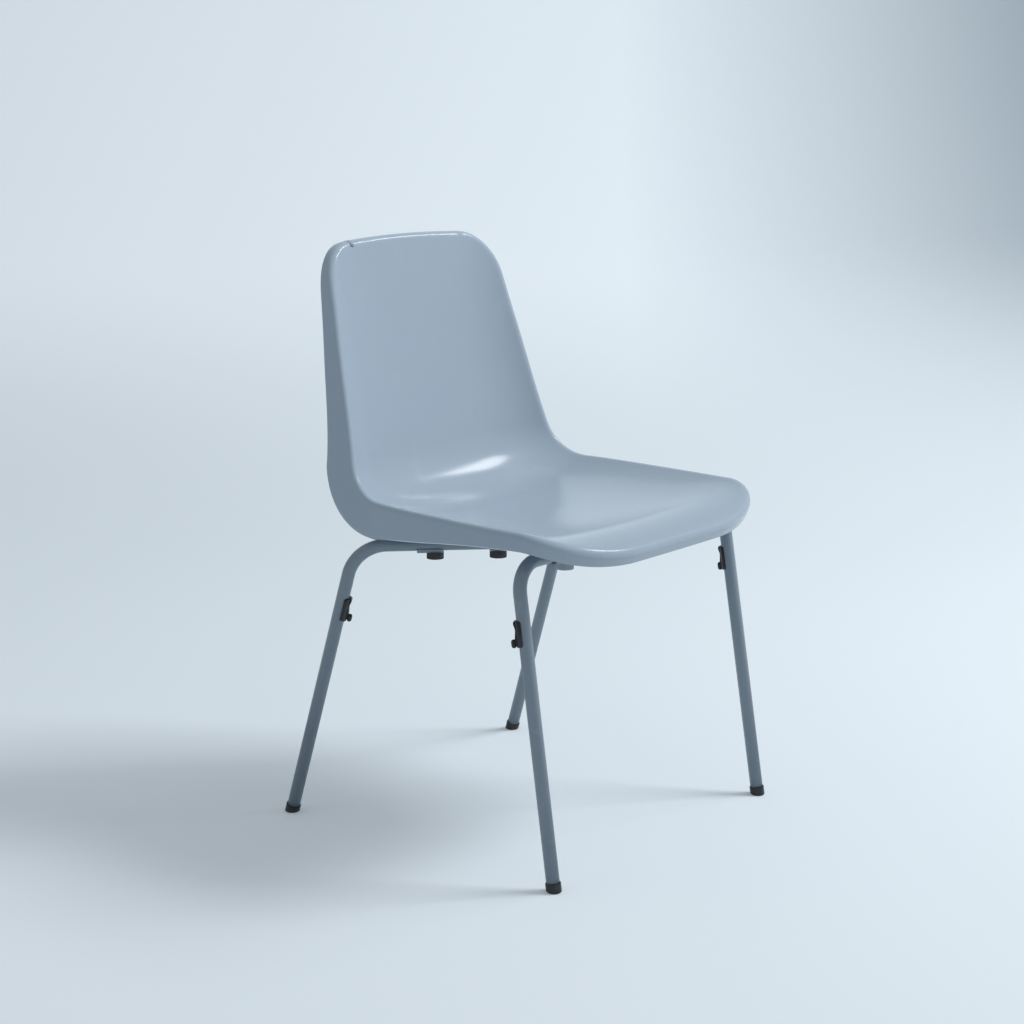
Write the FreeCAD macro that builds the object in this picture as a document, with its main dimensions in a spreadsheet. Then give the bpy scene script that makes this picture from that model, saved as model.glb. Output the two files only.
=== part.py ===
import FreeCAD
import Part
import os
from math import acos, atan2, cos, hypot, pi, radians, sin, tan

Vector = FreeCAD.Vector
doc = FreeCAD.newDocument("shell_chair")

# Driving dimensions in millimetres and degrees.
# The chair faces -Y, the sitter's left is +X, the floor is Z = 0.
driving = {
    "tube_diameter": 18.0,
    "tube_wall": 1.5,
    "front_foot_half_track": 237.8,
    "front_foot_y": -227.2,
    "front_leg_lean": 0.1605,
    "front_leg_splay": 0.0152,
    "front_bend_radius": 38.0,
    "crossbar_height": 419.6,
    "rear_foot_half_track": 244.8,
    "rear_foot_y": 244.6,
    "rear_leg_lean": 0.3087,
    "rear_leg_splay": 0.0215,
    "rear_bend_height": 405.0,
    "rear_bend_radius": 57.0,
    "rear_apex_height": 413.5,
    "rear_apex_radius": 40.0,
    "rear_fixing_outer": 108.0,
    "rear_fixing_inner": 193.0,
    "front_fixing_half_span": 133.5,
    "shell_thickness": 3.5,
    "back_lean": 15.9,
    "seat_pitch": 1.2,
    "corner_radius": 60.0,
    "corner_height": 473.0,
    "corner_y": 129.1,
    "back_top_height": 810.6,
    "front_roll_start_y": -166.3,
    "front_roll_radius": 165.0,
    "front_roll_length": 101.5,
    "rim_radius": 11.0,
    "top_crown": 5.0,
    "top_corner_across": 57.0,
    "top_corner_down": 70.0,
    "front_corner_across": 150.0,
    "skirt_flare": 4.0,
    "dish_top": 16.7,
    "dish_shoulder": 24.2,
    "dish_back": 33.7,
    "dish_lumbar": 41.2,
    "dish_seat": 37.3,
    "dish_thigh": 25.7,
    "dish_front": 7.7,
    "half_width_top": 173.6,
    "half_width_shoulder": 183.4,
    "half_width_back": 193.4,
    "half_width_lumbar": 213.2,
    "half_width_hip": 232.2,
    "half_width_seat": 239.6,
    "half_width_front": 237.8,
    "skirt_top": 17.2,
    "skirt_back": 31.2,
    "skirt_lumbar": 47.2,
    "skirt_corner": 54.7,
    "skirt_seat": 46.3,
    "skirt_thigh": 30.3,
    "skirt_front": 22.2,
    "boss_diameter": 24.0,
    "rib_length": 46.0,
    "rib_thickness": 2.6,
    "rib_rise": 5.0,
    "insert_diameter": 9.0,
    "insert_length": 12.0,
    "thread_diameter": 6.0,
    "bolt_hole_diameter": 6.6,
    "bolt_head_flats": 10.0,
    "bolt_head_height": 4.0,
    "washer_diameter": 13.0,
    "washer_thickness": 1.2,
    "saddle_front_depth": 4.0,
    "saddle_front_outside": 28.0,
    "saddle_front_inside": 24.0,
    "saddle_front_wrap": 1.0,
    "saddle_rear_depth": 1.5,
    "saddle_outer_outside": 24.5,
    "saddle_outer_inside": 10.5,
    "saddle_inner_outside": 11.5,
    "saddle_inner_inside": 11.5,
    "saddle_rear_wrap": -5.8,
    "saddle_flare": 1.6,
    "cap_flats": 23.0,
    "cap_turn": 41.0,
    "cap_height": 9.0,
    "cap_bore": 17.0,
    "cap_bore_depth": 6.5,
    "clip_height": 35.0,
    "clip_wall": 2.4,
    "clip_half_angle": 70.0,
    "clip_ridge_width": 9.0,
    "clip_peg_diameter": 5.0,
    "clip_peg_length": 5.0,
    "clip_knob_diameter": 6.8,
    "clip_knob_height": 11.6,
    "clip_knob_reach": 15.2,
    "clip_front_right_height": 334.0,
    "clip_front_right_facing": 124.0,
    "clip_front_left_height": 348.0,
    "clip_front_left_facing": 102.0,
    "clip_rear_right_height": 316.0,
    "clip_rear_right_facing": -55.0,
    "clip_rear_left_height": 316.0,
    "clip_rear_left_facing": -125.0,
    "foot_diameter": 20.6,
    "foot_height": 12.0,
    "foot_sole": 4.0,
    "foot_chamfer": 1.6,
}
sheet = doc.addObject("Spreadsheet::Sheet", "sizes")
for row, (alias, value) in enumerate(driving.items(), start=1):
    sheet.set("A%d" % row, alias)
    sheet.set("B%d" % row, str(value))
    sheet.setAlias("B%d" % row, alias)
doc.recompute()


def size(alias):
    return float(sheet.get(alias))


nodes = []


def node(item, name):
    item.Label = name
    nodes.append(item)
    return item


def bind(item, **expressions):
    for prop, expression in expressions.items():
        item.setExpression(prop, expression)
    return item


def shaped(name, shape, placement=None):
    item = doc.addObject("Part::Feature", name)
    item.Shape = shape
    if placement is not None:
        item.Placement = placement
    return item


# Side view of the rim, by arc length from the top of the back to the front edge:
# straight back, round corner, straight seat, then a long roll down at the front.
lean = radians(size("back_lean"))
pitch = radians(size("seat_pitch"))
corner_r = size("corner_radius")
roll_r = size("front_roll_radius")
up_back = (sin(lean), cos(lean))
to_front = (-cos(pitch), -sin(pitch))
corner_turn = acos(-(up_back[0] * to_front[0] + up_back[1] * to_front[1]))
corner_reach = corner_r * tan(corner_turn / 2)
back_run = (size("back_top_height") - size("corner_height")) / up_back[1] - corner_reach
corner_run = corner_r * corner_turn
seat_run = (size("corner_y") - size("front_roll_start_y")) / cos(pitch) - corner_reach
rim_run = back_run + corner_run + seat_run + size("front_roll_length")
hip = back_run + corner_run


def rim_side(s):
    """Point (y, z) of the rim's side view and the direction out of its back."""
    heading = atan2(-up_back[1], -up_back[0])
    if s <= back_run:
        rise = corner_reach + back_run - s
        y = size("corner_y") + up_back[0] * rise
        z = size("corner_height") + up_back[1] * rise
        return y, z, (-sin(heading), cos(heading))
    start_y = size("corner_y") + up_back[0] * corner_reach
    start_z = size("corner_height") + up_back[1] * corner_reach
    if s <= hip:
        turned = heading - (s - back_run) / corner_r
        y = start_y + corner_r * (sin(heading) - sin(turned))
        z = start_z + corner_r * (cos(turned) - cos(heading))
        return y, z, (-sin(turned), cos(turned))
    flat = min(s - hip, seat_run)
    y = size("corner_y") + to_front[0] * (corner_reach + flat)
    z = size("corner_height") + to_front[1] * (corner_reach + flat)
    level = heading - corner_turn
    rolled = level + max(s - hip - seat_run, 0.0) / roll_r
    y += roll_r * (sin(rolled) - sin(level))
    z -= roll_r * (cos(rolled) - cos(level))
    return y, z, (-sin(rolled), cos(rolled))


def smooth(stations, s):
    """Smooth value at s through a few stations of (arc length, value)."""
    last = len(stations) - 1
    rises = [(b[1] - a[1]) / (b[0] - a[0]) for a, b in zip(stations, stations[1:])]
    if s <= stations[0][0]:
        return stations[0][1] + rises[0] * (s - stations[0][0])
    if s >= stations[last][0]:
        return stations[last][1] + rises[-1] * (s - stations[last][0])
    i = max(k for k in range(last) if stations[k][0] <= s)
    (s0, v0), (s1, v1) = stations[i], stations[i + 1]
    step = s1 - s0

    def slope(k):
        if k == 0 or k == last:
            return rises[0] if k == 0 else rises[-1]
        before = stations[k][0] - stations[k - 1][0]
        after = stations[k + 1][0] - stations[k][0]
        return (rises[k - 1] * after + rises[k] * before) / (before + after)

    f = (s - s0) / step
    ends = (1 + 2 * f) * (1 - f) ** 2 * v0 + f * f * (3 - 2 * f) * v1
    return ends + step * (f * (1 - f) ** 2 * slope(i) + f * f * (f - 1) * slope(i + 1))


front_start = hip + seat_run
dish_stations = [
    (0, size("dish_top")),
    (60, size("dish_shoulder")),
    (150, size("dish_back")),
    (back_run, size("dish_lumbar")),
    (hip + 100, size("dish_seat")),
    (front_start, size("dish_thigh")),
    (front_start + 50, size("dish_thigh") * 0.62),
    (rim_run, size("dish_front")),
]
width_stations = [
    (0, size("half_width_top")),
    (85, size("half_width_shoulder")),
    (160, size("half_width_back")),
    (back_run, size("half_width_lumbar")),
    (hip + 8, size("half_width_hip")),
    (hip + 130, size("half_width_seat")),
    (rim_run, size("half_width_front")),
]
skirt_stations = [
    (0, size("skirt_top")),
    (160, size("skirt_back")),
    (back_run - 15, size("skirt_lumbar")),
    (back_run + 25, size("skirt_corner")),
    (hip + 45, size("skirt_seat")),
    (hip + 185, size("skirt_thigh")),
    (rim_run, size("skirt_front")),
]


def hollow(across):
    """How far the dish has risen to the rim, 0 in the middle and 1 at the rim."""
    u = abs(across)
    if u <= 1:
        return 0.45 * u ** 2 + 0.55 * u ** 5
    return 1 + 3.65 * (u - 1)


def dish(s, x, drop=0.0):
    """Point of the seating surface, moved down through the wall by drop."""
    y, z, out = rim_side(s)
    depth = smooth(dish_stations, s) * (1 - hollow(x / smooth(width_stations, s))) + drop
    return Vector(x, y + out[0] * depth, z + out[1] * depth)


def outline(inset):
    """Rim outline as (arc length, x) pairs, round from the top centre over +X and back."""
    down = size("top_corner_down")
    across = size("top_corner_across")
    reach = size("front_corner_across")
    nose = size("front_roll_length")
    straight = smooth(width_stations, down) - across
    crown = size("top_crown") / straight ** 2
    half = [(crown * x * x, x) for x in (0.0, straight / 4, straight / 2, straight * 3 / 4)]
    for k in range(6):
        turn = pi / 2 * k / 6
        fall = down * (1 - cos(turn))
        wide = smooth(width_stations, fall + 4) - across + across * sin(turn)
        half.append((crown * straight ** 2 + fall, wide))
    side_top = down + crown * straight ** 2
    side_end = rim_run - nose
    bend_top, bend_end = back_run - 20, hip + 20
    for start, end, count in ((side_top, bend_top, 8), (bend_top, bend_end, 10),
                              (bend_end, side_end, 8)):
        for k in range(count):
            s = start + (end - start) * k / count
            half.append((s, smooth(width_stations, s)))
    wide = smooth(width_stations, side_end)
    for k in range(8):
        turn = pi / 2 * k / 8
        half.append((side_end + nose * sin(turn), wide - reach + reach * cos(turn)))
    for k in range(3):
        half.append((rim_run, (wide - reach) * (1 - k / 3)))
    half.append((rim_run, 0.0))
    loop = half + [(s, -x) for s, x in reversed(half[1:-1])]
    moved = []
    for k, (s, x) in enumerate(loop):
        before = loop[k - 1]
        after = loop[(k + 1) % len(loop)]
        ds, dx = after[0] - before[0], after[1] - before[1]
        length = hypot(ds, dx)
        moved.append((s + inset * dx / length, x - inset * ds / length))
    return moved


def skirt_ring(inset, drop, down):
    """Ring of the outline, moved down the skirt; None goes to the skirt's lower edge."""
    ring = []
    for s, x in outline(inset):
        out = rim_side(s)[2]
        point = dish(s, x, drop)
        reach = smooth(skirt_stations, s) - drop if down is None else down
        flare = size("skirt_flare") / 45 * x / smooth(width_stations, s) * reach
        ring.append(point + Vector(flare, out[0] * reach, out[1] * reach))
    return ring


bend_middle = back_run + corner_run / 2


def dish_ring(inset, drop, share):
    """Ring of the dish, drawn in towards a spine down the middle; share 0 is the spine."""
    ring = []
    for s, x in outline(inset):
        across = min(abs(x) / smooth(width_stations, s), 1.0)
        spine = bend_middle + (s - bend_middle) * (0.8 - 0.1 * across)
        ring.append(dish(spine + (s - spine) * share, x * share, drop))
    return ring


def roll_rings(inner, corner, low):
    """Rings round the rim's edge, from the skirt up and over to the dish."""
    rings = []
    for k in range(6):
        b = 1 - k / 5
        weights = ((1 - b) ** 2, 2 * b * (1 - b) * 0.72, b * b)
        total = sum(weights)
        rings.append([
            (p * weights[0] + q * weights[1] + t * weights[2]) * (1 / total)
            for p, q, t in zip(inner, corner, low)
        ])
    return rings


def chords(points):
    """Chord lengths along the points, from 0 to 1."""
    run = [0.0]
    for a, b in zip(points, points[1:]):
        run.append(run[-1] + (b - a).Length)
    return [r / run[-1] for r in run]


def curve(points, parameters):
    spline = Part.BSplineCurve()
    spline.interpolate(Points=list(points), Parameters=parameters)
    return spline


def patch(rings, along):
    """Smooth surface through rings of points."""
    across = chords([ring[len(ring) // 3] for ring in rings])
    columns = [curve(column, across) for column in zip(*rings)]
    poles = [column.getPoles() for column in columns]
    rows = [curve([pole[k] for pole in poles], along) for k in range(len(poles[0]))]
    surface = Part.BSplineSurface()
    surface.buildFromPolesMultsKnots(
        [row.getPoles() for row in rows],
        columns[0].getMultiplicities(), rows[0].getMultiplicities(),
        columns[0].getKnots(), rows[0].getKnots(),
        False, False, columns[0].Degree, rows[0].Degree)
    return surface.toShape()


def half_of(ring, side):
    """The +X half of a ring for side 0, the -X half for side 1."""
    middle = len(ring) // 2
    if side == 0:
        return ring[:middle + 1]
    return [ring[0]] + ring[:middle - 1:-1]


def skin(inset, drop, radius):
    inner = skirt_ring(inset + radius, drop, 0.0)
    corner = skirt_ring(inset, drop, 0.0)
    low = skirt_ring(inset, drop, radius)
    edge = skirt_ring(inset, drop, None)
    shares = (0.94, 0.86, 0.77, 0.67, 0.56, 0.45, 0.34, 0.22, 0.11, 0.0)
    bowl = [inner] + [dish_ring(inset + radius, drop, share) for share in shares]
    return edge, low, roll_rings(inner, corner, low), bowl


# Shell: outer and inner skins, each of a skirt, a rolled rim and a dish, closed by
# the skirt's lower edge. Both halves meet at a seam down the middle.
thickness = size("shell_thickness")
outer = skin(0.0, 0.0, size("rim_radius"))
inner = skin(thickness, thickness, size("rim_radius") - thickness + 0.3)
faces = []
for side in (0, 1):
    along = chords(half_of(outer[1], side))
    lower_edges = []
    for edge, low, roll, bowl in (outer, inner):
        lower_edges.append(curve(half_of(edge, side), along).toShape())
        upper = curve(half_of(low, side), along).toShape()
        faces.append(Part.makeRuledSurface(lower_edges[-1], upper))
        faces.append(patch([half_of(ring, side) for ring in roll], along))
        faces.append(patch([half_of(ring, side) for ring in bowl], along))
    faces.append(Part.makeRuledSurface(lower_edges[0], lower_edges[1]))
sewn = Part.makeCompound(faces)
sewn.sewShape(0.01)
shell_solid = Part.Solid(sewn.Shells[0])
if shell_solid.Volume < 0:
    shell_solid.reverse()

# Routes of the two bent tubes.
tube_r = size("tube_diameter") / 2
foot_sole = size("foot_sole")


def leg_point(kind, side, z):
    """Point on a leg's centreline; side is -1 for -X and 1 for +X."""
    sense = 1 if kind == "front" else -1
    x = size(kind + "_foot_half_track") - size(kind + "_leg_splay") * z
    y = size(kind + "_foot_y") + sense * size(kind + "_leg_lean") * z
    return Vector(side * x, y, z)


def route(corners, radii):
    """Wire of straight runs and round bends through the corners."""
    edges = []
    start = corners[0]
    for before, corner, after, radius in zip(corners, corners[1:], corners[2:], radii):
        back = (before - corner).normalize()
        on = (after - corner).normalize()
        half = back.getAngle(on) / 2
        reach = radius / tan(half)
        middle = (back + on).normalize()
        nearest = corner + middle * (radius / sin(half) - radius)
        enter, leave = corner + back * reach, corner + on * reach
        edges.append(Part.LineSegment(start, enter).toShape())
        edges.append(Part.Arc(enter, nearest, leave).toShape())
        start = leave
    edges.append(Part.LineSegment(start, corners[-1]).toShape())
    return Part.Wire(edges)


cross_z = size("crossbar_height")
front_corner = leg_point("front", 1, cross_z)
rear_corner = leg_point("rear", 1, size("rear_bend_height"))
cross_y = front_corner.y
apex_r = size("rear_apex_radius")


def apex_gap(apex_y):
    """Clearance between the rear tube's rounded apex and the crossbar."""
    run = hypot(rear_corner.x, rear_corner.y - apex_y)
    sharp = apex_r * (run / rear_corner.x - 1)
    fall = (size("rear_apex_height") - rear_corner.z) * sharp / run
    return hypot(apex_y + sharp - cross_y, size("rear_apex_height") - fall - cross_z) - 2 * tube_r


low_y, high_y = cross_y - 20, cross_y + 120
for _ in range(60):
    apex_y = (low_y + high_y) / 2
    if apex_gap(apex_y) > 0:
        high_y = apex_y
    else:
        low_y = apex_y
rear_apex = Vector(0, apex_y, size("rear_apex_height"))

front_route = route(
    [leg_point("front", -1, foot_sole), leg_point("front", -1, cross_z),
     front_corner, leg_point("front", 1, foot_sole)],
    [size("front_bend_radius")] * 2)
rear_route = route(
    [leg_point("rear", -1, foot_sole), leg_point("rear", -1, size("rear_bend_height")),
     rear_apex, rear_corner, leg_point("rear", 1, foot_sole)],
    [size("rear_bend_radius"), apex_r, size("rear_bend_radius")])

# Places of the six fixings: two along each arm of the rear tube, one on each side
# of the crossbar. Each place is on the tube's centreline.
arm = (rear_apex - rear_corner).normalize()
fixings = {}
for side, word in ((-1, "right"), (1, "left")):
    for key, alias in (("outer", "rear_fixing_outer"), ("inner", "rear_fixing_inner")):
        point = rear_corner + arm * size(alias)
        fixings["rear_%s_%s" % (key, word)] = (
            Vector(side * point.x, point.y, point.z), Vector(side * arm.x, arm.y, arm.z), key)
    fixings["front_" + word] = (
        Vector(side * size("front_fixing_half_span"), cross_y, cross_z),
        Vector(-side, 0, 0), "front")

# Places of the four stacking clips: local Z runs up the leg, local X out of the clip.
clip_seats = {}
for kind in ("front", "rear"):
    for side, word in ((-1, "right"), (1, "left")):
        alias = "clip_%s_%s_" % (kind, word)
        low_end = leg_point(kind, side, size(alias + "height") - size("clip_height") / 2)
        up = (low_end - leg_point(kind, side, 0)).normalize()
        bearing = radians(size(alias + "facing"))
        facing = Vector(cos(bearing), sin(bearing), 0)
        clip_seats["%s_%s" % (kind, word)] = FreeCAD.Placement(
            low_end, FreeCAD.Rotation(facing, Vector(), up, "ZXY"))
peg_seat = FreeCAD.Placement(Vector(0, 0, size("clip_height") / 2),
                             FreeCAD.Rotation(Vector(0, 0, 1), Vector(1, 0, 0)))

# Bosses and webs under the seat, trimmed to the middle of the wall above them.
bosses = []
pockets = []
for place, direction, kind in fixings.values():
    top = place.z + 60
    boss = Part.makeCylinder(size("boss_diameter") / 2, 60, place + Vector(0, 0, tube_r - 2.5))
    web_floor = place.z + tube_r + size("rib_rise")
    web_half = size("rib_length") / 2
    web = Part.makeBox(2 * web_half, size("rib_thickness"), top - web_floor,
                       Vector(-web_half, -size("rib_thickness") / 2, web_floor))
    for turn in (45, 135):
        arm_web = web.copy()
        arm_web.rotate(Vector(), Vector(0, 0, 1), turn)
        arm_web.translate(Vector(place.x, place.y, 0))
        boss = boss.fuse(arm_web)
    seat_groove = Part.makeCylinder(tube_r, 80, place - direction * 40, direction)
    bosses.append(boss.cut(seat_groove))
    pockets.append(Part.makeCylinder(size("insert_diameter") / 2, size("insert_length") + 0.5,
                                     place + Vector(0, 0, tube_r - 0.5)))
mid_wall = thickness / 2
trim_rows = []
for k in range(25):
    s = hip - 40 + (rim_run - hip + 40) * k / 24
    trim_rows.append([dish(s, 230.0 * (j / 7 - 1), mid_wall) for j in range(15)])
above = patch(trim_rows, chords(trim_rows[0])).extrude(Vector(0, 0, 120))
bosses = [boss.cut(above) for boss in bosses]
moulded = shell_solid.fuse(bosses).cut(pockets)
node(shaped("seat_shell", moulded.Solids[0]), "seat_shell")


# Bent tubes, each an outer sweep less an inner one, drilled for the bolts and clip pegs.
def tube(kind, wire):
    name = kind + "_leg_tube"
    path = shaped(name + "_route", wire)
    sweeps = []
    for layer, expression in (("outer", "sizes.tube_diameter / 2"),
                              ("inner", "sizes.tube_diameter / 2 - sizes.tube_wall")):
        ring = doc.addObject("Part::Circle", name + "_" + layer + "_ring")
        bind(ring, Radius=expression)
        start = wire.OrderedVertexes[0].Point
        heading = wire.OrderedEdges[0].tangentAt(wire.OrderedEdges[0].FirstParameter)
        ring.Placement = FreeCAD.Placement(start, FreeCAD.Rotation(Vector(0, 0, 1), heading))
        sweep = doc.addObject("Part::Sweep", name + "_" + layer)
        sweep.Sections = [ring]
        sweep.Spine = (path, ["Edge%d" % (k + 1) for k in range(len(wire.Edges))])
        sweep.Solid = True
        sweep.Frenet = False
        sweeps.append(sweep)
    hollow_tube = doc.addObject("Part::Cut", name + "_hollow")
    hollow_tube.Base, hollow_tube.Tool = sweeps
    drills = []
    for key, (place, direction, style) in fixings.items():
        if key.startswith(kind):
            drill = doc.addObject("Part::Cylinder", "drill_" + key)
            bind(drill, Radius="sizes.bolt_hole_diameter / 2", Height="sizes.tube_diameter * 2")
            drill.Placement.Base = place - Vector(0, 0, size("tube_diameter"))
            drills.append(drill)
    for key, seat in clip_seats.items():
        if key.startswith(kind):
            drill = doc.addObject("Part::Cylinder", "peg_drill_" + key)
            bind(drill, Radius="sizes.clip_peg_diameter / 2", Height="sizes.tube_diameter")
            drill.Placement = seat * peg_seat
            drills.append(drill)
    drilled = doc.addObject("Part::MultiFuse", name + "_drills")
    drilled.Shapes = drills
    finished = doc.addObject("Part::Cut", name)
    finished.Base, finished.Tool = hollow_tube, drilled
    return node(finished, name)


tube("front", front_route)
tube("rear", rear_route)


# Fixing stacks, from the shell down: insert, saddle, washer, bolt, hexagonal cap.
def ring_part(name, outer_expression, inner_expression, height_expression):
    body = doc.addObject("Part::Cylinder", name + "_body")
    bind(body, Radius=outer_expression, Height=height_expression)
    bore = doc.addObject("Part::Cylinder", name + "_bore")
    bind(bore, Radius=inner_expression, Height=height_expression)
    ring = doc.addObject("Part::Cut", name)
    ring.Base, ring.Tool = body, bore
    return ring


saddle_depth = {"front": "sizes.saddle_front_depth", "outer": "sizes.saddle_rear_depth",
                "inner": "sizes.saddle_rear_depth"}
saddle_wrap = {"front": "sizes.saddle_front_wrap", "outer": "sizes.saddle_rear_wrap",
               "inner": "sizes.saddle_rear_wrap"}


def saddle(name, style):
    """Cradle under the tube, along local X, with a flat land below for the bolt."""
    outside = "sizes.saddle_%s_outside" % style
    length = "%s + sizes.saddle_%s_inside" % (outside, style)
    depth = saddle_depth[style]
    along = FreeCAD.Rotation(Vector(0, 0, 1), Vector(1, 0, 0))

    def bar(label, height):
        item = doc.addObject("Part::Cylinder", name + "_" + label)
        bind(item, Radius=height, Height=length)
        item.Placement.Rotation = along
        return bind(item, **{"Placement.Base.x": "-" + outside})

    def block(label, width, low, height):
        item = doc.addObject("Part::Box", name + "_" + label)
        bind(item, Length=length, Width=width, Height=height)
        return bind(item, **{"Placement.Base.x": "-" + outside,
                             "Placement.Base.y": "-(%s) / 2" % width, "Placement.Base.z": low})

    whole = doc.addObject("Part::MultiFuse", name + "_whole")
    whole.Shapes = [
        bar("wrap", "sizes.tube_diameter / 2 + " + depth),
        block("land", "sizes.tube_diameter * 0.9", "-sizes.tube_diameter / 2 - " + depth,
              "sizes.tube_diameter / 2 + " + depth)]
    lower = block("lower", "sizes.tube_diameter * 2", "-sizes.tube_diameter",
                  "sizes.tube_diameter + " + saddle_wrap[style])
    cradle = doc.addObject("Part::Common", name + "_cradle")
    cradle.Base, cradle.Tool = whole, lower
    hole = doc.addObject("Part::Cylinder", name + "_hole")
    bind(hole, Radius="sizes.bolt_hole_diameter / 2", Height="sizes.tube_diameter")
    bind(hole, **{"Placement.Base.z": "-sizes.tube_diameter"})
    hollows = [bar("groove", "sizes.tube_diameter / 2"), hole]
    if style == "front":
        for label, sense in (("outside", -1), ("inside", 1)):
            flare = doc.addObject("Part::Cone", name + "_flare_" + label)
            reach = "sizes.saddle_front_" + label
            bind(flare, Radius1="sizes.tube_diameter / 2",
                 Radius2="sizes.tube_diameter / 2 + sizes.saddle_flare",
                 Height=reach + " - sizes.cap_flats / 2")
            flare.Placement.Rotation = FreeCAD.Rotation(Vector(0, 0, 1), Vector(sense, 0, 0))
            bind(flare, **{"Placement.Base.x": "%d * sizes.cap_flats / 2" % sense})
            hollows.append(flare)
    hollow = doc.addObject("Part::MultiFuse", name + "_hollow")
    hollow.Shapes = hollows
    cradled = doc.addObject("Part::Cut", name)
    cradled.Base, cradled.Tool = cradle, hollow
    return cradled


def bolt(name, style):
    """Hexagon-head bolt standing on its head, thread up."""
    head = doc.addObject("Part::Prism", name + "_head")
    head.Polygon = 6
    bind(head, Circumradius="sizes.bolt_head_flats / cos(30) / 2", Height="sizes.bolt_head_height")
    shank = doc.addObject("Part::Cylinder", name + "_shank")
    bind(shank, Radius="sizes.thread_diameter / 2 - 0.05",
         Height="sizes.bolt_head_height + sizes.washer_thickness + " + saddle_depth[style]
                + " + sizes.tube_diameter + sizes.insert_length - 1")
    whole = doc.addObject("Part::MultiFuse", name)
    whole.Shapes = [head, shank]
    return whole


def hexagonal_cap(name):
    """Hexagonal cap, open at the top, with its lower edge chamfered."""
    block = doc.addObject("Part::Prism", name + "_block")
    block.Polygon = 6
    bind(block, Circumradius="sizes.cap_flats / cos(30) / 2", Height="sizes.cap_height")
    cone = doc.addObject("Part::Cone", name + "_cone")
    bind(cone, Radius1="sizes.cap_flats / 2 + 0.2",
         Radius2="sizes.cap_flats / 2 + 0.2 + sizes.cap_height * 1.6", Height="sizes.cap_height")
    formed = doc.addObject("Part::Common", name + "_formed")
    formed.Base, formed.Tool = block, cone
    bore = doc.addObject("Part::Cylinder", name + "_bore")
    bind(bore, Radius="sizes.cap_bore / 2", Height="sizes.cap_bore_depth + 1")
    bind(bore, **{"Placement.Base.z": "sizes.cap_height - sizes.cap_bore_depth"})
    cap = doc.addObject("Part::Cut", name)
    cap.Base, cap.Tool = formed, bore
    return cap


for key, (place, direction, style) in fixings.items():
    along_tube = FreeCAD.Rotation(
        Vector(direction.x, direction.y, direction.z),
        Vector(0, 0, 1).cross(direction), Vector(0, 0, 1), "XZY")
    depth = size("saddle_front_depth" if style == "front" else "saddle_rear_depth")
    under = place.z - tube_r - depth
    insert = node(ring_part("insert_" + key, "sizes.insert_diameter / 2",
                            "sizes.thread_diameter / 2", "sizes.insert_length"), "insert_" + key)
    insert.Placement.Base = place + Vector(0, 0, tube_r)
    cradle = node(saddle("saddle_" + key, style), "saddle_" + key)
    cradle.Placement = FreeCAD.Placement(place, along_tube)
    washer = node(ring_part("washer_" + key, "sizes.washer_diameter / 2",
                            "sizes.thread_diameter / 2 + 0.2",
                            "sizes.washer_thickness"), "washer_" + key)
    washer.Placement.Base = Vector(place.x, place.y, under - size("washer_thickness"))
    screw = node(bolt("bolt_" + key, style), "bolt_" + key)
    screw.Placement.Base = Vector(
        place.x, place.y, under - size("washer_thickness") - size("bolt_head_height"))
    cap = node(hexagonal_cap("cap_" + key), "cap_" + key)
    cap.Placement = FreeCAD.Placement(
        Vector(place.x, place.y, under - size("cap_height")),
        FreeCAD.Rotation(Vector(0, 0, 1), size("cap_turn") * (1 if place.x < 0 else -1)))


# Stacking clips: a saddle pressed on the leg, with a ridge down its face and a knob at
# its lower end, held by a peg through the tube wall.
def clip_shape():
    height = size("clip_height")
    half_angle = size("clip_half_angle")
    outer_r = tube_r + size("clip_wall")
    wrap = Part.makeCylinder(outer_r, height, Vector(), Vector(0, 0, 1), 2 * half_angle)
    wrap.rotate(Vector(), Vector(0, 0, 1), -half_angle)
    side_reach = outer_r * sin(radians(half_angle))
    face = Part.makeBox(40, 2 * side_reach, height, Vector(0, -side_reach, 0))
    upright = [e for e in face.Edges if abs(e.tangentAt(e.FirstParameter).x) > 0.9]
    wrap = wrap.common(face.makeFillet(6.0, upright))
    half_ridge = size("clip_ridge_width") / 2
    profile = [Vector(outer_r + rise, -half_ridge, height * share) for rise, share in (
        (-0.6, 0.02), (1.3, 0.17), (1.5, 0.34), (0.3, 0.58), (0.5, 0.74), (1.7, 0.88), (0.4, 0.99))]
    spline = Part.BSplineCurve()
    spline.interpolate(profile)
    back_low = Vector(tube_r - 1, -half_ridge, profile[0].z)
    back_high = Vector(tube_r - 1, -half_ridge, profile[-1].z)
    ridge = Part.Face(Part.Wire([
        spline.toShape(), Part.LineSegment(profile[-1], back_high).toShape(),
        Part.LineSegment(back_high, back_low).toShape(),
        Part.LineSegment(back_low, profile[0]).toShape(),
    ])).extrude(Vector(0, 2 * half_ridge, 0))
    knob_r = size("clip_knob_diameter") / 2
    knob_x = size("clip_knob_reach")
    knob_z = knob_r - 0.6
    knob_run = size("clip_knob_height") - 2 * knob_r
    knob = Part.makeCylinder(knob_r, knob_run, Vector(knob_x, 0, knob_z)).fuse([
        Part.makeSphere(knob_r, Vector(knob_x, 0, knob_z)),
        Part.makeSphere(knob_r, Vector(knob_x, 0, knob_z + knob_run)),
        Part.makeCylinder(knob_r * 0.7, knob_x - tube_r, Vector(tube_r, 0, knob_z + knob_run / 2),
                          Vector(1, 0, 0))])
    leg_bar = Part.makeCylinder(tube_r, height * 2, Vector(0, 0, -height / 2))
    peg = Part.makeCylinder(size("clip_peg_diameter") / 2, size("clip_peg_length"),
                            Vector(tube_r + 0.5 - size("clip_peg_length"), 0, height / 2),
                            Vector(1, 0, 0))
    return wrap.fuse([ridge, knob]).cut(leg_bar).fuse(peg).removeSplitter()


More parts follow.
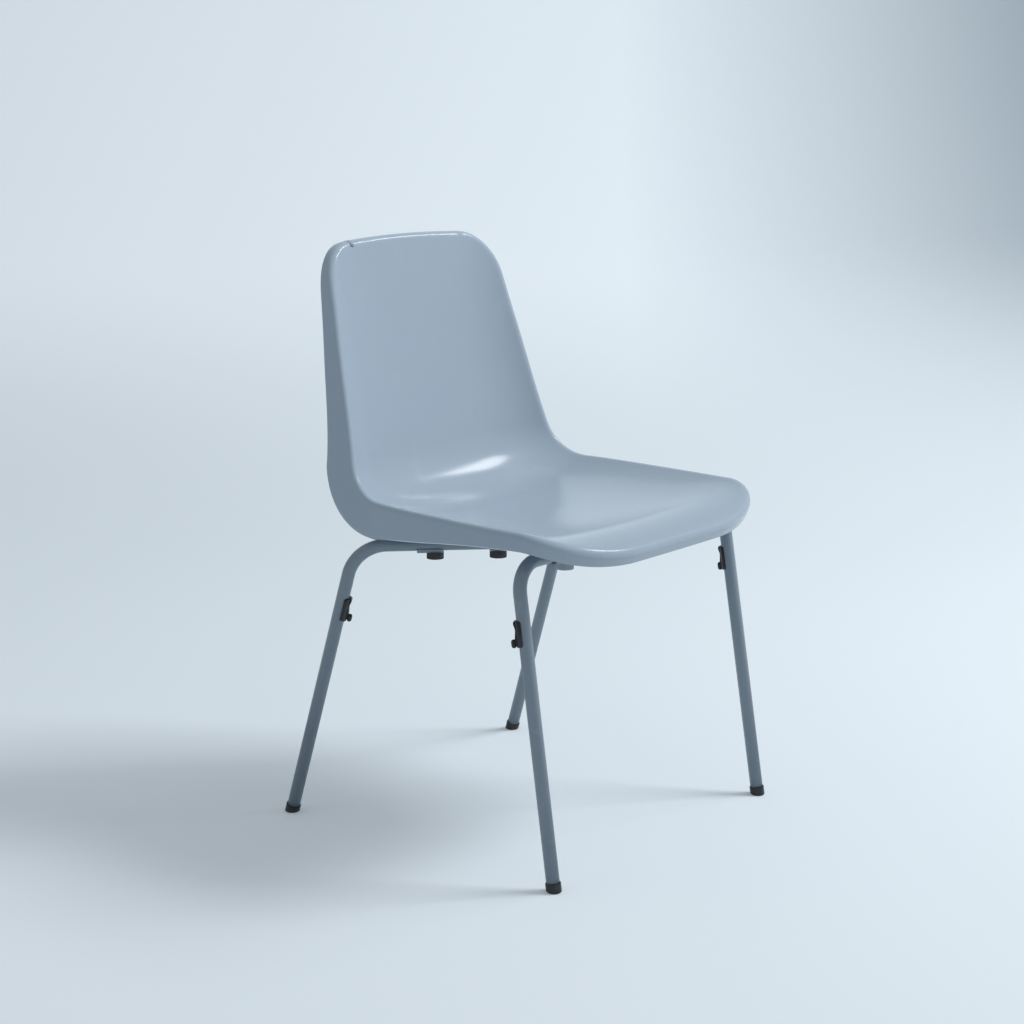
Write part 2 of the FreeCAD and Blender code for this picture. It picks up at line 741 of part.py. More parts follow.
for key, seat in clip_seats.items():
    node(shaped("clip_" + key, clip_shape().Solids[0], seat), "clip_" + key)


# Foot caps: a tilted cup round the tube's end, moulded flat where it meets the floor.
def foot_cap(name, kind, side):
    base = leg_point(kind, side, 0)
    up = (leg_point(kind, side, 100) - base).normalize()
    cup = doc.addObject("Part::Cylinder", name + "_cup")
    bind(cup, Radius="sizes.foot_diameter / 2", Height="sizes.foot_height + 10")
    cup.Placement = FreeCAD.Placement(base - up * 10, FreeCAD.Rotation(Vector(0, 0, 1), up))
    slab = doc.addObject("Part::Box", name + "_slab")
    slab.Length, slab.Width = 60, 60
    bind(slab, Height="sizes.foot_height * 2")
    slab.Placement.Base = Vector(base.x - 30, base.y - 30, 0)
    stood = doc.addObject("Part::Common", name + "_stood")
    stood.Base, stood.Tool = cup, slab
    socket = doc.addObject("Part::Cylinder", name + "_socket")
    bind(socket, Radius="sizes.tube_diameter / 2", Height="sizes.foot_height * 2")
    socket.Placement = FreeCAD.Placement(
        leg_point(kind, side, foot_sole), FreeCAD.Rotation(Vector(0, 0, 1), up))
    cupped = doc.addObject("Part::Cut", name + "_cupped")
    cupped.Base, cupped.Tool = stood, socket
    doc.recompute()
    rims = [k + 1 for k, e in enumerate(cupped.Shape.Edges)
            if e.BoundBox.ZMax < 0.01 and e.Length > 20]
    soled = doc.addObject("Part::Chamfer", name)
    soled.Base = cupped
    soled.Edges = [(k, size("foot_chamfer"), size("foot_chamfer")) for k in rims]
    return node(soled, name)


for kind in ("front", "rear"):
    for side, word in ((-1, "right"), (1, "left")):
        foot_cap("foot_%s_%s" % (kind, word), kind, side)

doc.recompute()
for item in doc.Objects:
    if "Invalid" in item.State or "Error" in item.State:
        raise RuntimeError("%s did not build: %s" % (item.Name, item.State))
os.makedirs("parts", exist_ok=True)
extent = FreeCAD.BoundBox()
for item in nodes:
    shape = item.Shape
    if shape.isNull() or not shape.isValid() or len(shape.Solids) != 1:
        raise RuntimeError("%s is not one valid solid" % item.Label)
    extent.add(shape.optimalBoundingBox(False, False) if item.Label == "seat_shell" else shape.BoundBox)
    shape.exportStep("parts/%s.step" % item.Label)
print("nodes", len(nodes), "box", extent)
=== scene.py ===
import bmesh
import bpy
import numpy as np
from math import atan2, cos, hypot, pi, radians, sin, tan
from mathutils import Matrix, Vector


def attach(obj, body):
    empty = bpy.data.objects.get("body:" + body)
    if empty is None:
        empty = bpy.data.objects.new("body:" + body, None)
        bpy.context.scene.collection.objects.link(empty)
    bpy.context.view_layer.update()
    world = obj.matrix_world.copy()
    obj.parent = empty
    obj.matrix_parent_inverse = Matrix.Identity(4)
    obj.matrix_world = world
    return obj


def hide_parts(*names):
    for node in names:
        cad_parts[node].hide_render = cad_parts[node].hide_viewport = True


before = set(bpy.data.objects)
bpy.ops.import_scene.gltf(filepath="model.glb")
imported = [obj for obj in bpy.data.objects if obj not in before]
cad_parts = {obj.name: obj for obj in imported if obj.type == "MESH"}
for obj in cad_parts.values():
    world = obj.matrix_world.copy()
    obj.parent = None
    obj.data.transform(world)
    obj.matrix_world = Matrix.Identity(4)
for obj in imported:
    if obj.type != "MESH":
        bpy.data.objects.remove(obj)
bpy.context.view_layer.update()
MM = 0.001


# Colours. The shell is moulded in a pale blue-grey, and the powder coat on the tubes
# is a darker shade of it.
shell_shade = (0.395, 0.475, 0.555, 1.0)
paint_shade = (0.235, 0.290, 0.345, 1.0)
black_shade = (0.013, 0.014, 0.016, 1.0)
cap_shade = (0.36, 0.41, 0.45, 1.0)


# Surface effects shared by several finishes: slow waves left by moulding or by the
# paint, fine grain, and the small marks that handling leaves.
def effect_group(name, inputs, outputs):
    group = bpy.data.node_groups.new(name, "ShaderNodeTree")
    for label, kind, default in inputs:
        socket = group.interface.new_socket(label, in_out="INPUT", socket_type=kind)
        if default is not None:
            socket.default_value = default
    for label, kind in outputs:
        group.interface.new_socket(label, in_out="OUTPUT", socket_type=kind)
    return group, group.nodes.new("NodeGroupInput"), group.nodes.new("NodeGroupOutput")


def wire(tree, *links):
    for source, target in links:
        tree.links.new(source, target)


skin_fx, skin_in, skin_out = effect_group(
    "moulded_skin",
    [("Wave", "NodeSocketFloat", 0.02), ("Grain", "NodeSocketFloat", 0.05)],
    [("Normal", "NodeSocketVector"), ("Mottle", "NodeSocketFloat")])
place = skin_fx.nodes.new("ShaderNodeTexCoord")
slow = skin_fx.nodes.new("ShaderNodeTexNoise")
slow.inputs["Scale"].default_value = 9.0
slow.inputs["Detail"].default_value = 1.5
fine = skin_fx.nodes.new("ShaderNodeTexNoise")
fine.inputs["Scale"].default_value = 900.0
fine.inputs["Detail"].default_value = 2.0
wave_bump = skin_fx.nodes.new("ShaderNodeBump")
wave_bump.inputs["Distance"].default_value = 0.004
grain_bump = skin_fx.nodes.new("ShaderNodeBump")
grain_bump.inputs["Distance"].default_value = 0.0002
wire(skin_fx,
     (place.outputs["Object"], slow.inputs["Vector"]),
     (place.outputs["Object"], fine.inputs["Vector"]),
     (slow.outputs["Fac"], wave_bump.inputs["Height"]),
     (skin_in.outputs["Wave"], wave_bump.inputs["Strength"]),
     (fine.outputs["Fac"], grain_bump.inputs["Height"]),
     (skin_in.outputs["Grain"], grain_bump.inputs["Strength"]),
     (wave_bump.outputs["Normal"], grain_bump.inputs["Normal"]),
     (grain_bump.outputs["Normal"], skin_out.inputs["Normal"]),
     (slow.outputs["Fac"], skin_out.inputs["Mottle"]))

wear_fx, wear_in, wear_out = effect_group(
    "handling_marks",
    [("Scale", "NodeSocketFloat", 60.0), ("Amount", "NodeSocketFloat", 0.5)],
    [("Mark", "NodeSocketFloat")])
mark_place = wear_fx.nodes.new("ShaderNodeTexCoord")
mark_noise = wear_fx.nodes.new("ShaderNodeTexNoise")
mark_noise.inputs["Detail"].default_value = 6.0
mark_ramp = wear_fx.nodes.new("ShaderNodeMapRange")
mark_ramp.inputs["From Min"].default_value = 0.62
mark_ramp.inputs["From Max"].default_value = 0.72
mark_gain = wear_fx.nodes.new("ShaderNodeMath")
mark_gain.operation = "MULTIPLY"
wire(wear_fx,
     (mark_place.outputs["Object"], mark_noise.inputs["Vector"]),
     (wear_in.outputs["Scale"], mark_noise.inputs["Scale"]),
     (mark_noise.outputs["Fac"], mark_ramp.inputs["Value"]),
     (mark_ramp.outputs["Result"], mark_gain.inputs[0]),
     (wear_in.outputs["Amount"], mark_gain.inputs[1]),
     (mark_gain.outputs["Value"], wear_out.inputs["Mark"]))


def finish_material(name, shade, worn_shade, rough, worn_rough, wave, grain, marks, mark_scale):
    """A finish with a slow wave, a fine grain and handling marks that change its colour a little."""
    material = bpy.data.materials.new(name)
    material.use_nodes = True
    tree = material.node_tree
    surface = tree.nodes["Principled BSDF"]
    skin = tree.nodes.new("ShaderNodeGroup")
    skin.node_tree = skin_fx
    skin.inputs["Wave"].default_value = wave
    skin.inputs["Grain"].default_value = grain
    wear = tree.nodes.new("ShaderNodeGroup")
    wear.node_tree = wear_fx
    wear.inputs["Scale"].default_value = mark_scale
    wear.inputs["Amount"].default_value = marks
    colour = tree.nodes.new("ShaderNodeMix")
    colour.data_type = "RGBA"
    colour.inputs["A"].default_value = shade
    colour.inputs["B"].default_value = worn_shade
    gloss = tree.nodes.new("ShaderNodeMapRange")
    gloss.inputs["To Min"].default_value = rough
    gloss.inputs["To Max"].default_value = worn_rough
    wire(tree,
         (wear.outputs["Mark"], colour.inputs["Factor"]),
         (colour.outputs["Result"], surface.inputs["Base Color"]),
         (wear.outputs["Mark"], gloss.inputs["Value"]),
         (gloss.outputs["Result"], surface.inputs["Roughness"]),
         (skin.outputs["Normal"], surface.inputs["Normal"]))
    return material, surface


shell_finish, surface = finish_material(
    "shell_polypropylene", shell_shade, (0.43, 0.51, 0.59, 1.0), rough=0.16, worn_rough=0.24,
    wave=0.10, grain=0.03, marks=0.5, mark_scale=14.0)
surface.inputs["IOR"].default_value = 1.49
surface.inputs["Subsurface Weight"].default_value = 0.04
surface.inputs["Subsurface Radius"].default_value = (0.004, 0.005, 0.006)
paint_finish, _ = finish_material(
    "powder_coat", paint_shade, (0.30, 0.35, 0.40, 1.0), rough=0.36, worn_rough=0.48,
    wave=0.05, grain=0.35, marks=0.6, mark_scale=55.0)
black_finish, _ = finish_material(
    "black_moulding", black_shade, (0.05, 0.05, 0.052, 1.0), rough=0.30, worn_rough=0.5,
    wave=0.08, grain=0.10, marks=0.7, mark_scale=120.0)
rubber_finish, _ = finish_material(
    "foot_rubber", (0.012, 0.013, 0.015, 1.0), (0.06, 0.06, 0.06, 1.0), rough=0.45,
    worn_rough=0.7, wave=0.1, grain=0.3, marks=0.8, mark_scale=150.0)
cap_finish, _ = finish_material(
    "grey_moulding", cap_shade, (0.42, 0.46, 0.50, 1.0), rough=0.35, worn_rough=0.5,
    wave=0.08, grain=0.10, marks=0.5, mark_scale=120.0)
saddle_finish, _ = finish_material(
    "pressed_steel_paint", (0.30, 0.35, 0.40, 1.0), (0.36, 0.41, 0.46, 1.0), rough=0.38,
    worn_rough=0.5, wave=0.06, grain=0.3, marks=0.6, mark_scale=90.0)
zinc_finish, surface = finish_material(
    "zinc_plate", (0.55, 0.56, 0.57, 1.0), (0.40, 0.41, 0.42, 1.0), rough=0.32,
    worn_rough=0.5, wave=0.04, grain=0.2, marks=0.6, mark_scale=130.0)
surface.inputs["Metallic"].default_value = 1.0
brass_finish, surface = finish_material(
    "insert_brass", (0.72, 0.52, 0.25, 1.0), (0.5, 0.36, 0.18, 1.0), rough=0.35,
    worn_rough=0.5, wave=0.04, grain=0.2, marks=0.6, mark_scale=130.0)
surface.inputs["Metallic"].default_value = 1.0


# The shell is one moulding: a straight back, a round hip, a flat seat and a long roll
# down at the front. Its section is a dish whose depth changes along that line.
thickness = 3.5
rim_radius = 11.0
inner_rim_radius = rim_radius - thickness + 0.3
rim_pull = 0.72
back_lean, seat_pitch = radians(15.9), radians(1.2)
hip_radius, hip_height, hip_y = 60.0, 473.0, 129.1
back_top = 810.6
roll_start_y, roll_radius, roll_length = -166.3, 165.0, 101.5
top_crown, top_across, top_down = 5.0, 57.0, 70.0
corner_station = 4.0
front_across = 150.0
skirt_flare = 4.0 / 45
round_share = 0.45
edge_slope = 2 * round_share + 5 * (1 - round_share)
spine_reach, spine_draw = 0.8, 0.1
past_ends, side_steps = 60.0, 2400
outline_density = 4
shell_weld = 0.00002

up_back = (sin(back_lean), cos(back_lean))
hip_turn = pi / 2 - back_lean - seat_pitch
hip_reach = hip_radius * tan(hip_turn / 2)
back_run = (back_top - hip_height) / up_back[1] - hip_reach
hip_end = back_run + hip_radius * hip_turn
seat_run = (hip_y - roll_start_y) / cos(seat_pitch) - hip_reach
rim_run = hip_end + seat_run + roll_length
front_start = hip_end + seat_run

side_s = np.linspace(-past_ends, rim_run + past_ends, side_steps)
down_heading = atan2(-up_back[1], -up_back[0])
heading = down_heading - np.clip((side_s - back_run) / hip_radius, 0, hip_turn)
heading += np.clip((side_s - front_start) / roll_radius, 0, None)
step = side_s[1] - side_s[0]
side_y = np.concatenate([[0], np.cumsum(np.cos((heading[1:] + heading[:-1]) / 2)) * step])
side_z = np.concatenate([[0], np.cumsum(np.sin((heading[1:] + heading[:-1]) / 2)) * step])
top_y = hip_y + up_back[0] * (hip_reach + back_run)
side_y += top_y - np.interp(0.0, side_s, side_y)
side_z += back_top - np.interp(0.0, side_s, side_z)


def smooth(stations, s):
    """Smooth values at s through stations of (arc length, value)."""
    at, value = np.array(stations).T
    rises = np.diff(value) / np.diff(at)
    gaps = np.diff(at)
    slopes = np.concatenate([
        [rises[0]], (rises[:-1] * gaps[1:] + rises[1:] * gaps[:-1]) / (gaps[:-1] + gaps[1:]),
        [rises[-1]]])
    i = np.clip(np.searchsorted(at, s) - 1, 0, len(at) - 2)
    f = (s - at[i]) / gaps[i]
    inner = np.clip(f, 0, 1)
    curve = ((1 + 2 * inner) * (1 - inner) ** 2 * value[i]
             + inner ** 2 * (3 - 2 * inner) * value[i + 1]
             + gaps[i] * (inner * (1 - inner) ** 2 * slopes[i]
                          + inner ** 2 * (inner - 1) * slopes[i + 1]))
    return curve + (f - inner) * gaps[i] * np.where(f < 0, slopes[0], slopes[-1])


dish_depth = [(0, 16.7), (60, 24.2), (150, 33.7), (back_run, 41.2), (hip_end + 100, 37.3),
              (front_start, 25.7), (front_start + 50, 25.7 * 0.62), (rim_run, 7.7)]
half_width = [(0, 173.6), (85, 183.4), (160, 193.4), (back_run, 213.2), (hip_end + 8, 232.2),
              (hip_end + 130, 239.6), (rim_run, 237.8)]
skirt_depth = [(0, 17.2), (160, 31.2), (back_run - 15, 47.2), (back_run + 25, 54.7),
               (hip_end + 45, 46.3), (hip_end + 185, 30.3), (rim_run, 22.2)]


def dish(s, x, drop=0.0):
    """Points of the seating surface in millimetres, and the direction out of its back."""
    across = np.abs(x) / smooth(half_width, s)
    bowl = round_share * across ** 2 + (1 - round_share) * across ** 5
    rise = np.where(across <= 1, bowl, 1 + edge_slope * (across - 1))
    depth = smooth(dish_depth, s) * (1 - rise) + drop
    turn = np.interp(s, side_s, heading)
    out = np.stack([np.zeros_like(s), -np.sin(turn), np.cos(turn)], 1)
    rim = np.stack([x, np.interp(s, side_s, side_y), np.interp(s, side_s, side_z)], 1)
    return rim + out * depth[:, None], out


def half_outline(dense):
    """The +X half of the rim's outline as (arc length, x), from top centre to front centre."""
    straight = float(smooth(half_width, np.array([top_down]))[0]) - top_across
    crown = top_crown / straight ** 2
    x = np.linspace(0, straight, 4 * dense, endpoint=False)
    parts = [np.stack([crown * x * x, x], 1)]
    turn = np.linspace(0, pi / 2, 7 * dense, endpoint=False)
    fall = top_down * (1 - np.cos(turn))
    wide = smooth(half_width, fall + corner_station) - top_across + top_across * np.sin(turn)
    parts.append(np.stack([top_crown + fall, wide], 1))
    s = np.linspace(top_down + top_crown, rim_run - roll_length, 26 * dense, endpoint=False)
    parts.append(np.stack([s, smooth(half_width, s)], 1))
    wide = float(smooth(half_width, np.array([rim_run - roll_length]))[0])
    turn = np.linspace(0, pi / 2, 10 * dense, endpoint=False)
    parts.append(np.stack([rim_run - roll_length + roll_length * np.sin(turn),
                           wide - front_across + front_across * np.cos(turn)], 1))
    x = np.linspace(wide - front_across, 0, 4 * dense + 1)
    parts.append(np.stack([np.full_like(x, rim_run), x], 1))
    return np.concatenate(parts)


half = half_outline(outline_density)
mirror = half[1:-1][::-1] * (1, -1)
loop = np.concatenate([half, mirror])


def moved_in(inset):
    """The rim's outline moved in by an inset, as arc lengths and x."""
    ahead, behind = np.roll(loop, -1, 0), np.roll(loop, 1, 0)
    run = ahead - behind
    run /= np.linalg.norm(run, axis=1)[:, None]
    return loop[:, 0] + inset * run[:, 1], loop[:, 1] - inset * run[:, 0]


def skirt_ring(inset, drop, down=None):
    """A ring of the skirt, at its full depth or a given way down."""
    s, x = moved_in(inset)
    points, out = dish(s, x, drop)
    reach = smooth(skirt_depth, s) - drop if down is None else np.full_like(s, down)
    flare = skirt_flare * x / smooth(half_width, s) * reach
    return points + out * reach[:, None] + np.stack([flare, 0 * flare, 0 * flare], 1)


def dish_ring(inset, drop, share):
    """A ring of the dish, from the rim at share 1 to the spine at share 0."""
    s, x = moved_in(inset)
    across = np.clip(np.abs(x) / smooth(half_width, s), 0, 1)
    middle = back_run + hip_radius * hip_turn / 2
    spine = middle + (s - middle) * (spine_reach - spine_draw * across)
    return dish(spine + (s - spine) * share, x * share, drop)[0]


def skin_rings(inset, drop, radius, dish_shares):
    """Rings of one face of the wall, from the skirt's lower edge up to the spine."""
    inner = skirt_ring(inset + radius, drop, 0.0)
    corner = skirt_ring(inset, drop, 0.0)
    low = skirt_ring(inset, drop, radius)
    edge = skirt_ring(inset, drop)
    rings = [edge * (1 - f) + low * f for f in (0.0, 0.06, 0.3, 0.6, 0.9)]
    for b in np.linspace(1, 0, 9):
        weights = np.array([(1 - b) ** 2, 2 * b * (1 - b) * rim_pull, b * b])
        weights /= weights.sum()
        rings.append(inner * weights[0] + corner * weights[1] + low * weights[2])
    rings += [dish_ring(inset + radius, drop, share) for share in dish_shares]
    return rings


shares = np.concatenate([[0.985, 0.965], np.linspace(0.94, 0.0, 26)])
outer = skin_rings(0.0, 0.0, rim_radius, shares)
inner = skin_rings(thickness, thickness, inner_rim_radius, shares)
edge_round = [outer[0] * (1 - f) + inner[0] * f for f in (0.12, 0.88)]
rings = outer[::-1] + edge_round + inner
count = len(loop)
verts = np.concatenate(rings) * MM
faces = []
for r in range(len(rings) - 1):
    for k in range(count):
        n = (k + 1) % count
        faces.append((r * count + k, r * count + n, (r + 1) * count + n, (r + 1) * count + k))
mesh = bpy.data.meshes.new("shell_moulding")
mesh.from_pydata([tuple(v) for v in verts], [], faces)
shell = bpy.data.objects.new("shell_moulding", mesh)
bpy.context.collection.objects.link(shell)
welded = bmesh.new()
welded.from_mesh(mesh)
bmesh.ops.remove_doubles(welded, verts=welded.verts, dist=shell_weld)
bmesh.ops.recalc_face_normals(welded, faces=welded.faces)
welded.to_mesh(mesh)
welded.free()
for polygon in mesh.polygons:
    polygon.use_smooth = True
mesh.materials.append(shell_finish)
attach(shell, "root")
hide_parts("seat_shell")


# The two bent tubes. The front one is a plain U under the seat, and the rear one
# comes forward in a fork that ends against the front one's crossbar.
tube_radius, tube_wall = 9.0, 1.5
foot_sole = 4.0
front_foot = (237.8, -227.2, 0.1605, 0.0152)
rear_foot = (244.8, 244.6, -0.3087, 0.0215)
cross_height, rear_bend_height, apex_height = 419.6, 405.0, 413.5
front_bend, rear_bend, apex_bend = 38.0, 57.0, 40.0


def leg_point(foot, side, z):
    """Point on a leg's centre line at height z, from its track, place, lean and splay."""
    track, y, lean, splay = foot
    return Vector((side * (track - splay * z), y + lean * z, z))


def bent_route(corners, radii, per_bend=20):
    """Centre line through the corners, with an arc of the given radius at each."""
    points = [corners[0]]
    for before, corner, after, radius in zip(corners, corners[1:], corners[2:], radii):
        back = (before - corner).normalized()
        on = (after - corner).normalized()
        angle = back.angle(on) / 2
        centre = corner + (back + on).normalized() * (radius / sin(angle))
        enter = corner + back * (radius / tan(angle)) - centre
        leave = corner + on * (radius / tan(angle)) - centre
        sweep = enter.angle(leave)
        for k in range(per_bend + 1):
            f = k / per_bend
            arm = (enter * sin((1 - f) * sweep) + leave * sin(f * sweep)) / sin(sweep)
            points.append(centre + arm)
    points.append(corners[-1])
    return points


def tube_piece(name, route, radius, wall, segments=40):
    """Round tube along the route, open at both ends."""
    inside = radius - wall
    tangents = []
    for k in range(len(route)):
        a, b = route[max(k - 1, 0)], route[min(k + 1, len(route) - 1)]
        tangents.append((b - a).normalized())
    side = tangents[0].orthogonal().normalized()
    rings = []
    for point, tangent in zip(route, tangents):
        side = (side - tangent * side.dot(tangent)).normalized()
        up = tangent.cross(side)
        rings.append([point + (side * cos(t) + up * sin(t)) * radius
                      for t in np.linspace(0, 2 * pi, segments, endpoint=False)])
    bore = [[p + (v - p) * (inside / radius) for v in ring]
            for p, ring in zip(route, rings)][::-1]
    every = rings + bore
    verts = [tuple(v * MM) for ring in every for v in ring]
    total = len(every)
    faces = []
    for r in range(total):
        n = (r + 1) % total
        for k in range(segments):
            j = (k + 1) % segments
            faces.append((r * segments + k, r * segments + j, n * segments + j, n * segments + k))
    mesh = bpy.data.meshes.new(name)
    mesh.from_pydata(verts, [], faces)
    piece = bpy.data.objects.new(name, mesh)
    bpy.context.collection.objects.link(piece)
    for polygon in mesh.polygons:
        polygon.use_smooth = True
    return piece


front_corner = leg_point(front_foot, 1, cross_height)
rear_corner = leg_point(rear_foot, 1, rear_bend_height)
cross_y = front_corner.y
# Halving finds how far forward the rear tube comes before it touches the crossbar.
low_y, high_y = cross_y - 20, cross_y + 120
for _ in range(60):
    apex_y = (low_y + high_y) / 2
    run = hypot(rear_corner.x, rear_corner.y - apex_y)
    sharp = apex_bend * (run / rear_corner.x - 1)
    fall = (apex_height - rear_bend_height) * sharp / run
    gap = hypot(apex_y + sharp - cross_y, apex_height - fall - cross_height) - 2 * tube_radius
    low_y, high_y = (low_y, apex_y) if gap > 0 else (apex_y, high_y)
rear_apex = Vector((0, apex_y, apex_height))
front_route = bent_route(
    [leg_point(front_foot, -1, foot_sole), leg_point(front_foot, -1, cross_height),
     front_corner, leg_point(front_foot, 1, foot_sole)], [front_bend] * 2)
rear_route = bent_route(
    [leg_point(rear_foot, -1, foot_sole), leg_point(rear_foot, -1, rear_bend_height),
     rear_apex, rear_corner, leg_point(rear_foot, 1, foot_sole)],
    [rear_bend, apex_bend, rear_bend])
for name, route in (("front_leg_tube", front_route), ("rear_leg_tube", rear_route)):
    piece = tube_piece(name + "_looks", route, tube_radius, tube_wall)
    piece.data.materials.append(paint_finish)
    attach(piece, "root")
    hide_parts(name)


# Small parts keep their CAD shape. A copy is welded into one skin, its corners are
# kept sharp and the rest is shaded round.
part_weld, sharp_angle = 0.000005, radians(32)


def looks_of(name, finish):
    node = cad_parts[name]
    mesh = node.data.copy()
    welded = bmesh.new()
    welded.from_mesh(mesh)
    bmesh.ops.remove_doubles(welded, verts=welded.verts, dist=part_weld)
    for face in welded.faces:
        face.smooth = True
    welded.to_mesh(mesh)
    welded.free()
    mesh.set_sharp_from_angle(angle=sharp_angle)
    mesh.materials.clear()
    mesh.materials.append(finish)
    copy = bpy.data.objects.new(name + "_looks", mesh)
    bpy.context.collection.objects.link(copy)
    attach(copy, "root")
    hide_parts(name)


finishes = {
    "insert": (brass_finish, "brass"),
    "saddle": (saddle_finish, "saddle_steel"),
    "washer": (zinc_finish, "zinc_steel"),
    "bolt": (zinc_finish, "zinc_steel"),
    "cap": (black_finish, "black_plastic"),
    "clip": (black_finish, "black_plastic"),
    "foot": (rubber_finish, "black_rubber"),
}
for name in sorted(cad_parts):
    kind = name.split("_")[0]
    if kind in finishes:
        finish, slot_name = finishes[kind]
        if name.startswith("cap_front"):
            finish, slot_name = cap_finish, "light_cap"
        looks_of(name, finish)


# Studio. A pale seamless sweep of paper, a large lamp high on the right, a smaller one
# for the light on the hip, one low to the side and a weak fill from the left.
view_azimuth = radians(-50.27)
right = Vector((cos(view_azimuth), sin(view_azimuth), 0))
away = Vector((-sin(view_azimuth), cos(view_azimuth), 0))

sweep_width, sweep_near, sweep_far, sweep_bend, sweep_top = 14.0, -4.5, 1.6, 2.6, 3.4
profile = [(sweep_near, 0.0), (sweep_far, 0.0)]
profile += [(sweep_far + sweep_bend * sin(t), sweep_bend * (1 - cos(t)))
            for t in np.linspace(0, pi / 2, 24)[1:]]
profile.append((sweep_far + sweep_bend, sweep_top))
verts = []
for u in (-sweep_width / 2, sweep_width / 2):
    verts += [tuple(right * u + away * d + Vector((0, 0, z))) for d, z in profile]
count = len(profile)
faces = [(k, count + k, count + k + 1, k + 1) for k in range(count - 1)]
mesh = bpy.data.meshes.new("seamless_paper")
mesh.from_pydata(verts, [], faces)
paper = bpy.data.objects.new("seamless_paper", mesh)
bpy.context.collection.objects.link(paper)
for polygon in mesh.polygons:
    polygon.use_smooth = True
paper_finish = bpy.data.materials.new("seamless_paper")
paper_finish.use_nodes = True
tree = paper_finish.node_tree
surface = tree.nodes["Principled BSDF"]
surface.inputs["Roughness"].default_value = 0.9
surface.inputs["Specular IOR Level"].default_value = 0.1
# Painted shade and light: up its bend the paper is coloured darker to the right, and it glows a
# little, more above the floor.
spread = tree.nodes.new("ShaderNodeTexCoord")
along = tree.nodes.new("ShaderNodeVectorMath")
along.operation = "DOT_PRODUCT"
along.inputs[1].default_value = right
lift = tree.nodes.new("ShaderNodeSeparateXYZ")
painted_shade_across = tree.nodes.new("ShaderNodeMapRange")
painted_shade_across.inputs["From Min"].default_value = 0.3
painted_shade_across.inputs["From Max"].default_value = 1.7
painted_shade_up = tree.nodes.new("ShaderNodeMapRange")
painted_shade_up.interpolation_type = "SMOOTHSTEP"
painted_shade_up.inputs["From Min"].default_value = -0.05
painted_shade_up.inputs["From Max"].default_value = 0.6
painted_shade_amount = tree.nodes.new("ShaderNodeMath")
painted_shade_amount.operation = "MULTIPLY"
# Painted shade: the paper's colour is mixed towards a darker blue-grey to the right, up the bend.
shade = tree.nodes.new("ShaderNodeMix")
shade.data_type = "RGBA"
shade.inputs["A"].default_value = (0.66, 0.715, 0.75, 1.0)
shade.inputs["B"].default_value = (0.33, 0.39, 0.44, 1.0)
# Painted light: the paper glows, less where its painted shade is darker and more above the floor;
# only the camera and reflections see the glow.
painted_glow_share = tree.nodes.new("ShaderNodeMapRange")
painted_glow_share.inputs["To Min"].default_value = 1.0
painted_glow_share.inputs["To Max"].default_value = 0.15
rise = tree.nodes.new("ShaderNodeMapRange")
rise.interpolation_type = "SMOOTHSTEP"
rise.inputs["From Min"].default_value = 0.0
rise.inputs["From Max"].default_value = 0.5
rise.inputs["To Min"].default_value = 0.17
rise.inputs["To Max"].default_value = 0.30
painted_glow = tree.nodes.new("ShaderNodeMath")
painted_glow.operation = "MULTIPLY"
path = tree.nodes.new("ShaderNodeLightPath")
seen = tree.nodes.new("ShaderNodeMath")
seen.operation = "MAXIMUM"
painted_glow_seen = tree.nodes.new("ShaderNodeMath")
painted_glow_seen.operation = "MULTIPLY"
surface.inputs["Emission Color"].default_value = (0.88, 0.94, 0.985, 1.0)
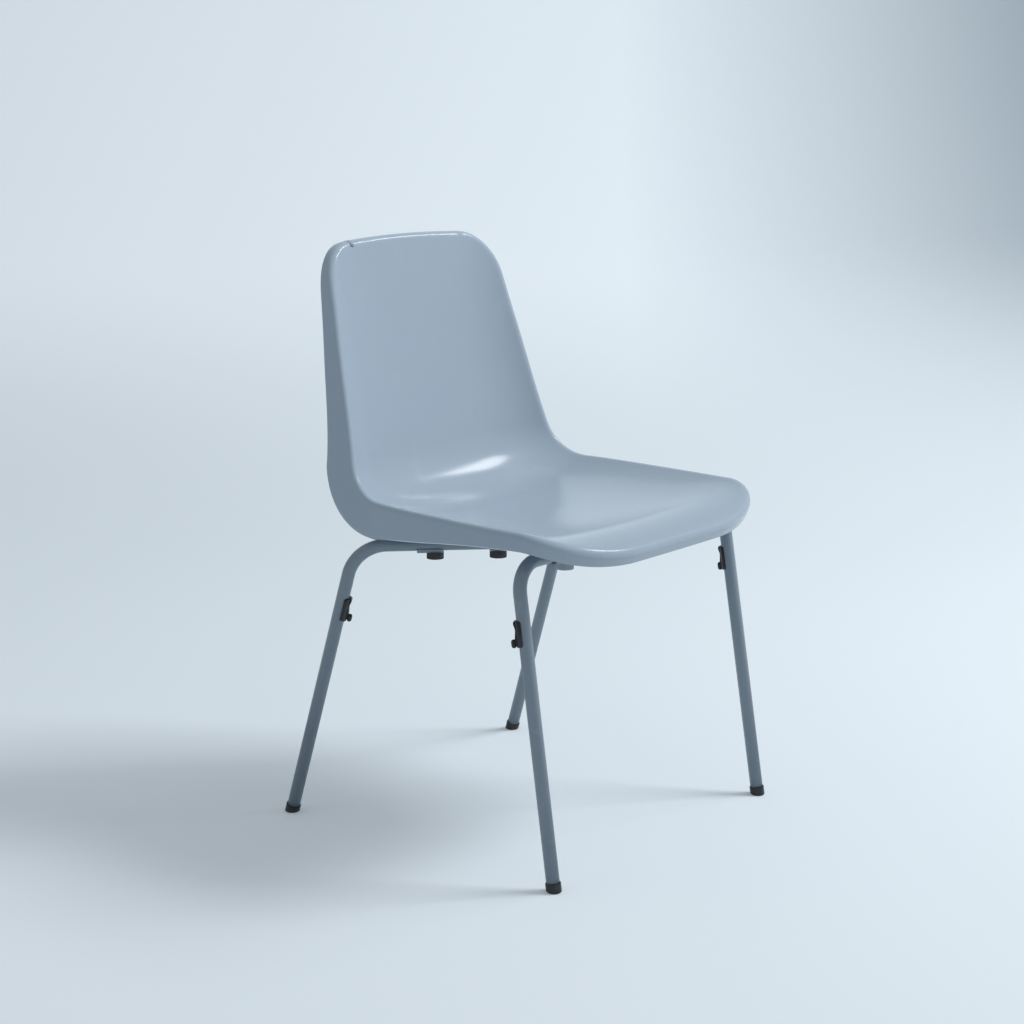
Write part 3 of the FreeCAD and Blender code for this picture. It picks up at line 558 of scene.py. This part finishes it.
wire(tree,
     (spread.outputs["Object"], along.inputs[0]),
     (spread.outputs["Object"], lift.inputs[0]),
     (along.outputs["Value"], painted_shade_across.inputs["Value"]),
     (lift.outputs["Z"], painted_shade_up.inputs["Value"]),
     (lift.outputs["Z"], rise.inputs["Value"]),
     (painted_shade_across.outputs["Result"], painted_shade_amount.inputs[0]),
     (painted_shade_up.outputs["Result"], painted_shade_amount.inputs[1]),
     (painted_shade_amount.outputs["Value"], shade.inputs["Factor"]),
     (shade.outputs["Result"], surface.inputs["Base Color"]),
     (painted_shade_amount.outputs["Value"], painted_glow_share.inputs["Value"]),
     (painted_glow_share.outputs["Result"], painted_glow.inputs[0]),
     (rise.outputs["Result"], painted_glow.inputs[1]),
     (painted_glow.outputs["Value"], painted_glow_seen.inputs[0]),
     (path.outputs["Is Camera Ray"], seen.inputs[0]),
     (path.outputs["Is Glossy Ray"], seen.inputs[1]),
     (seen.outputs["Value"], painted_glow_seen.inputs[1]),
     (painted_glow_seen.outputs["Value"], surface.inputs["Emission Strength"]))
mesh.materials.append(paper_finish)


lamp_aim = Vector((0, 0, 0.45))


def lamp(name, azimuth, height, distance, size_x, size_y, watts, in_reflections):
    """Lamp at an azimuth from straight away round to the right, aimed at the chair."""
    turn = radians(azimuth)
    place = (away * cos(turn) + right * sin(turn)) * distance + Vector((0, 0, height))
    data = bpy.data.lights.new(name, "AREA")
    data.shape = "RECTANGLE"
    data.size, data.size_y = size_x, size_y
    data.energy = watts
    data.color = (0.97, 0.985, 1.0)
    item = bpy.data.objects.new(name, data)
    item.location = place
    item.rotation_euler = (lamp_aim - place).to_track_quat("-Z", "Y").to_euler()
    item.visible_glossy = in_reflections
    bpy.context.collection.objects.link(item)


lamp("key_lamp", 84, 4.6, 3.9, 1.8, 1.8, 180.0, False)
lamp("catch_lamp", 64, 2.7, 2.4, 0.9, 0.44, 12.5, True)
lamp("side_strip", 87, 1.5, 3.0, 0.5, 0.42, 8.0, False)
lamp("left_fill", 245, 1.4, 2.9, 1.8, 1.8, 4.0, False)

world = bpy.data.worlds.new("studio_air")
bpy.context.scene.world = world
world.use_nodes = True
world.node_tree.nodes["Background"].inputs["Color"].default_value = (0.80, 0.88, 0.95, 1.0)
world.node_tree.nodes["Background"].inputs["Strength"].default_value = 0.42

# Camera, solved from the feet, the legs and the tube widths.
focal_pixels, picture_pixels = 2067.0, 1024.0
view_dip = 12.14
camera = bpy.data.cameras.new("photo_camera")
camera.sensor_width = 36.0
camera.lens = camera.sensor_width * focal_pixels / picture_pixels
camera.clip_end = 50.0
viewer = bpy.data.objects.new("photo_camera", camera)
viewer.location = (-2.191, -1.7803, 1.036)
viewer.rotation_euler = (radians(90 - view_dip), 0, view_azimuth)
bpy.context.collection.objects.link(viewer)
scene = bpy.context.scene
scene.camera = viewer
scene.view_settings.view_transform = "Standard"
